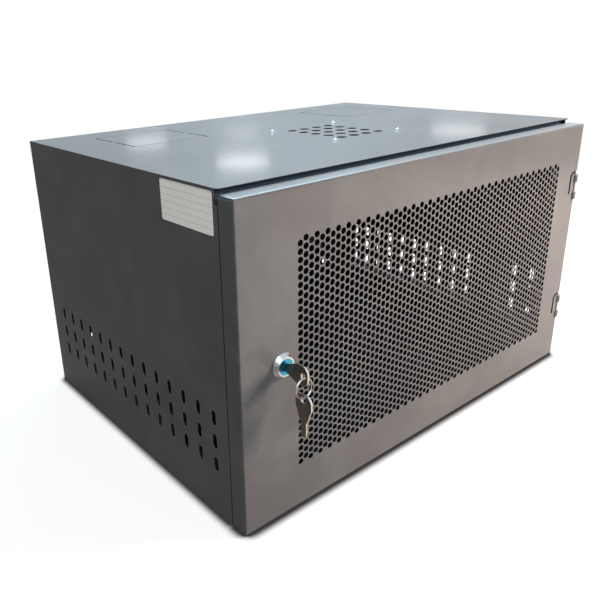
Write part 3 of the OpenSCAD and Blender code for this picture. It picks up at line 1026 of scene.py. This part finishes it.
@dataclass(frozen=True)
class Lamp:
    """A soft round lamp aimed at a point, seen in glossy surfaces or not."""

    name: str
    place: tuple[float, float, float]
    aim: tuple[float, float, float]
    size: float
    power: float
    colour: str
    mirrored: bool = True

    def build(self) -> None:
        """Adds the lamp to the scene."""
        data = bpy.data.lights.new(self.name, "AREA")
        data.shape = "DISK"
        data.size = self.size
        data.energy = self.power
        data.color = linear(self.colour)[:3]
        lamp = bpy.data.objects.new(self.name, data)
        bpy.context.scene.collection.objects.link(lamp)
        lamp.visible_glossy = self.mirrored
        lamp.location = self.place
        way = Vector(self.aim) - Vector(self.place)
        lamp.rotation_euler = way.to_track_quat("-Z", "Y").to_euler()


def ceiling_lamp(name: str, place: tuple[float, float, float], size: float, power: float) -> Lamp:
    """Makes a white lamp that shines straight down.

    Args:
        name: Name of the lamp.
        place: Where it hangs.
        size: Its width.
        power: Its power.

    Returns:
        The lamp.
    """
    return Lamp(name, place, (place[0], place[1], 0.0), size, power, WHITE)


def eased(span: tuple[float, float]) -> dict[str, str | float]:
    """Gives the settings of a smooth rise from 0 to 1.

    Args:
        span: Values where the rise begins and ends.

    Returns:
        Settings by name.
    """
    return {"interpolation_type": "SMOOTHSTEP", "From Min": span[0], "From Max": span[1]}


def seen_rays(tree: bpy.types.NodeTree, mirror_share: float) -> bpy.types.NodeSocket:
    """Adds nodes that tell the rays that see the background from those that only carry light.

    Args:
        tree: Node tree of the floor or the world.
        mirror_share: Value for a ray that comes off a glossy surface.

    Returns:
        Socket with 1 for rays from the camera or through glass, and the share for mirror rays.
    """
    rays = add_node(tree, "ShaderNodeLightPath")
    mirror = add_node(
        tree,
        "ShaderNodeMath",
        {"operation": "MULTIPLY", 1: mirror_share},
        {0: rays.outputs["Is Glossy Ray"]},
    )
    direct = add_node(
        tree,
        "ShaderNodeMath",
        {"operation": "MAXIMUM"},
        {0: rays.outputs["Is Camera Ray"], 1: rays.outputs["Is Transmission Ray"]},
    )
    either = add_node(
        tree,
        "ShaderNodeMath",
        {"operation": "MAXIMUM"},
        {0: direct.outputs[0], 1: mirror.outputs[0]},
    )
    return either.outputs[0]


@dataclass
class Studio:
    """Pale floor, white surroundings, soft lamps and the camera."""

    # The floor: its colour to the eye, and the colours that it throws back on either side.
    floor_size: float = 12.0
    floor_colour: str = "#f4f4f2"
    floor_left: str = "#3a3632"
    floor_right: str = "#a59a90"
    floor_blend: tuple[float, float] = (-0.5, 0.1)
    floor_mirror_share: float = 0.05
    # The shadow, which fades away within its reach, and the painted shadow under the cabinet's edges.
    glow_share: float = 0.88
    shadow_reach: float = 1.6
    contact_mm: float = 15.0
    contact_shade: str = "#383636"
    contact_range: tuple[float, float] = (0.55, 0.95)
    contact_rays: int = 16
    # The room: its colours, and how far along each axis one changes to the next.
    surround_light: float = 1.15
    dark_side: str = "#3a3632"
    warm_side: str = "#d9cabd"
    sky_side: str = "#a9bcc8"
    side_blend: tuple[float, float] = (-0.5, 0.5)
    rear_blend: tuple[float, float] = (0.0, 0.6)
    sky_blend: tuple[float, float] = (0.2, 0.7)
    mirror_share: float = 0.28
    # The camera, as solved from the photograph.
    camera_place: tuple[float, float, float] = (-0.55848, -0.57654, 0.42937)
    camera_right: tuple[float, float, float] = (0.78052567, -0.62429358, -0.03220576)
    camera_forward: tuple[float, float, float] = (0.57635838, 0.73863063, -0.34962238)
    focal_px: float = 644.39
    image_px: float = 600.0
    middle_px: tuple[float, float] = (246.04, 278.83)
    sensor_mm: float = 36.0
    nearest_mm: float = 10.0
    lamps: tuple[Lamp, ...] = (
        Lamp(
            "warm_lamp",
            place=(1.1, -1.0, 0.85),
            aim=(0.1, -0.2, 0.2),
            size=0.7,
            power=79.0,
            colour="#fff1ea",
            mirrored=False,
        ),
        Lamp(
            "fill_lamp",
            place=(-0.9, -1.9, 1.5),
            aim=(-0.1, -0.2, 0.15),
            size=2.2,
            power=46.0,
            colour="#cfe3ff",
        ),
        Lamp(
            "left_lamp",
            place=(-2.4, 0.3, 0.9),
            aim=(-0.3, 0.0, 0.2),
            size=1.0,
            power=10.5,
            colour="#ffead4",
            mirrored=False,
        ),
        Lamp(
            "sky_lamp",
            place=(1.1, 1.2, 2.2),
            aim=(0.0, 0.0, 0.3),
            size=1.6,
            power=94.0,
            colour="#c2e0f2",
        ),
        ceiling_lamp("left_ceiling_lamp", (0.796, 1.793, 0.606), size=0.18, power=0.4),
        ceiling_lamp("rear_ceiling_lamp", (1.152, 1.609, 0.590), size=0.16, power=0.1),
        ceiling_lamp("near_ceiling_lamp", (1.023, 1.444, 0.676), size=0.22, power=0.7),
        ceiling_lamp("right_ceiling_lamp", (1.747, 0.959, 0.592), size=0.22, power=0.5),
    )

    def painted_contact_shadow(self, tree: bpy.types.NodeTree) -> bpy.types.NodeSocket:
        """Adds a painted shadow: the dark line where the cabinet stands close to the floor.

        Args:
            tree: Node tree of the floor.

        Returns:
            Socket with white on the open floor and the shade under an edge.
        """
        contact = add_node(
            tree,
            "ShaderNodeAmbientOcclusion",
            {"samples": self.contact_rays, "Distance": self.contact_mm * MM},
        )
        open_share = add_node(
            tree, "ShaderNodeMapRange", eased(self.contact_range), {"Value": contact.outputs["AO"]}
        )
        shade = add_node(
            tree,
            "ShaderNodeMix",
            {"data_type": "RGBA", 6: linear(self.contact_shade), 7: linear(WHITE)},
            {0: open_share.outputs[0]},
        )
        return shade.outputs[2]

    def floor_material(self) -> bpy.types.Material:
        """Builds the floor's paint: white to the camera, and darker where it only carries light.

        Returns:
            The material.
        """
        material, tree = new_material("pale_floor")
        seen = seen_rays(tree, self.floor_mirror_share)
        place = add_node(tree, "ShaderNodeTexCoord").outputs["Object"]
        split = add_node(tree, "ShaderNodeSeparateXYZ", links={0: place})
        sideways = add_node(
            tree, "ShaderNodeMapRange", eased(self.floor_blend), {"Value": split.outputs[0]}
        )
        bounced = add_node(
            tree,
            "ShaderNodeMix",
            {"data_type": "RGBA", 6: linear(self.floor_left), 7: linear(self.floor_right)},
            {0: sideways.outputs[0]},
        )
        colour = add_node(
            tree,
            "ShaderNodeMix",
            {"data_type": "RGBA", 7: linear(self.floor_colour)},
            {0: seen, 6: bounced.outputs[2]},
        )
        shade = self.painted_contact_shadow(tree)
        shaded = add_node(
            tree,
            "ShaderNodeMix",
            {"data_type": "RGBA", "blend_type": "MULTIPLY"},
            {0: seen, 6: colour.outputs[2], 7: shade},
        )
        matt = add_node(tree, "ShaderNodeBsdfDiffuse", links={"Color": shaded.outputs[2]})
        glow = add_node(tree, "ShaderNodeEmission", {"Strength": WHITE_LIGHT}, {"Color": shade})
        distance = add_node(tree, "ShaderNodeVectorMath", {"operation": "LENGTH"}, {0: place})
        far = add_node(
            tree,
            "ShaderNodeMapRange",
            {**eased((self.shadow_reach / 2, self.shadow_reach)), "To Min": self.glow_share},
            {"Value": distance.outputs["Value"]},
        )
        share = add_node(
            tree, "ShaderNodeMath", {"operation": "MULTIPLY"}, {0: seen, 1: far.outputs[0]}
        )
        mix = add_node(
            tree,
            "ShaderNodeMixShader",
            links={0: share.outputs[0], 1: matt.outputs[0], 2: glow.outputs[0]},
        )
        finish_material(tree, mix)
        return material

    def build_floor(self) -> None:
        """Adds the floor, white to the camera and still shaded by the cabinet."""
        bpy.ops.object.select_all(action="DESELECT")
        bpy.ops.mesh.primitive_plane_add(size=self.floor_size, location=(0.0, 0.0, 0.0))
        floor = bpy.context.active_object
        floor.name = "studio_floor"
        floor.data.materials.append(self.floor_material())

    def room_colour(self, tree: bpy.types.NodeTree) -> bpy.types.NodeSocket:
        """Adds the room: cool sky behind and above, warm ahead on the right, dark on the left.

        Args:
            tree: Node tree of the world.

        Returns:
            Socket with the colour.
        """
        way = add_node(tree, "ShaderNodeTexCoord").outputs["Generated"]
        split = add_node(tree, "ShaderNodeSeparateXYZ", links={0: way})
        sideways, behind, upwards = (
            add_node(tree, "ShaderNodeMapRange", eased(span), {"Value": part}).outputs[0]
            for span, part in zip((self.side_blend, self.rear_blend, self.sky_blend), split.outputs)
        )
        around = add_node(
            tree,
            "ShaderNodeMix",
            {"data_type": "RGBA", 6: linear(self.dark_side), 7: linear(self.warm_side)},
            {0: sideways},
        )
        back_right = add_node(
            tree, "ShaderNodeMath", {"operation": "MULTIPLY"}, {0: behind, 1: sideways}
        )
        sky = add_node(
            tree, "ShaderNodeMath", {"operation": "MAXIMUM"}, {0: back_right.outputs[0], 1: upwards}
        )
        colour = add_node(
            tree,
            "ShaderNodeMix",
            {"data_type": "RGBA", 7: linear(self.sky_side)},
            {0: sky.outputs[0], 6: around.outputs[2]},
        )
        return colour.outputs[2]

    def build_surround(self) -> None:
        """Lights the scene softly from the room, which is white to the camera."""
        world = bpy.data.worlds.new("white_surround")
        bpy.context.scene.world = world
        world.use_nodes = True
        tree = world.node_tree
        tree.nodes.clear()
        room = add_node(
            tree,
            "ShaderNodeBackground",
            {"Strength": self.surround_light},
            {"Color": self.room_colour(tree)},
        )
        white = add_node(
            tree, "ShaderNodeBackground", {"Color": linear(WHITE), "Strength": WHITE_LIGHT}
        )
        mix = add_node(
            tree,
            "ShaderNodeMixShader",
            links={0: seen_rays(tree, self.mirror_share), 1: room.outputs[0], 2: white.outputs[0]},
        )
        add_node(tree, "ShaderNodeOutputWorld", links={"Surface": mix.outputs[0]})

    def build_camera(self) -> None:
        """Sets the camera where the photograph was taken."""
        data = bpy.data.cameras.new("photo_camera")
        data.sensor_width = self.sensor_mm
        data.lens = self.focal_px / self.image_px * self.sensor_mm
        data.shift_x = (self.image_px / 2 - self.middle_px[0]) / self.image_px
        data.shift_y = (self.middle_px[1] - self.image_px / 2) / self.image_px
        data.clip_start = self.nearest_mm * MM
        camera = bpy.data.objects.new("photo_camera", data)
        bpy.context.scene.collection.objects.link(camera)
        right = Vector(self.camera_right).normalized()
        back = -Vector(self.camera_forward).normalized()
        up = back.cross(right)
        turn = Matrix((right, up, back)).transposed().to_4x4()
        camera.matrix_world = Matrix.Translation(self.camera_place) @ turn
        bpy.context.scene.camera = camera

    def build(self) -> None:
        """Builds the whole studio."""
        self.build_floor()
        self.build_surround()
        for lamp in self.lamps:
            lamp.build()
        self.build_camera()
        bpy.context.scene.view_settings.view_transform = "Standard"


def main() -> None:
    """Builds the looks of the cabinet in order."""
    logging.basicConfig(level=logging.INFO, format="%(name)s: %(message)s")
    coat = PANEL_COAT.material()
    nickel = BRIGHT_NICKEL.material()
    zinc = ZINC_PLATE.material()
    black = BLACKED_STEEL.material()
    plastic = MOULDED_BLACK.material()
    CabinetBody().build(coat, black, zinc)
    PerforatedDoor().build(DOOR_COAT.material())
    CamLock().build(nickel, zinc)
    RoofFan().build(plastic, nickel, zinc)
    Studio().build()


if __name__ == "__main__":
    main()
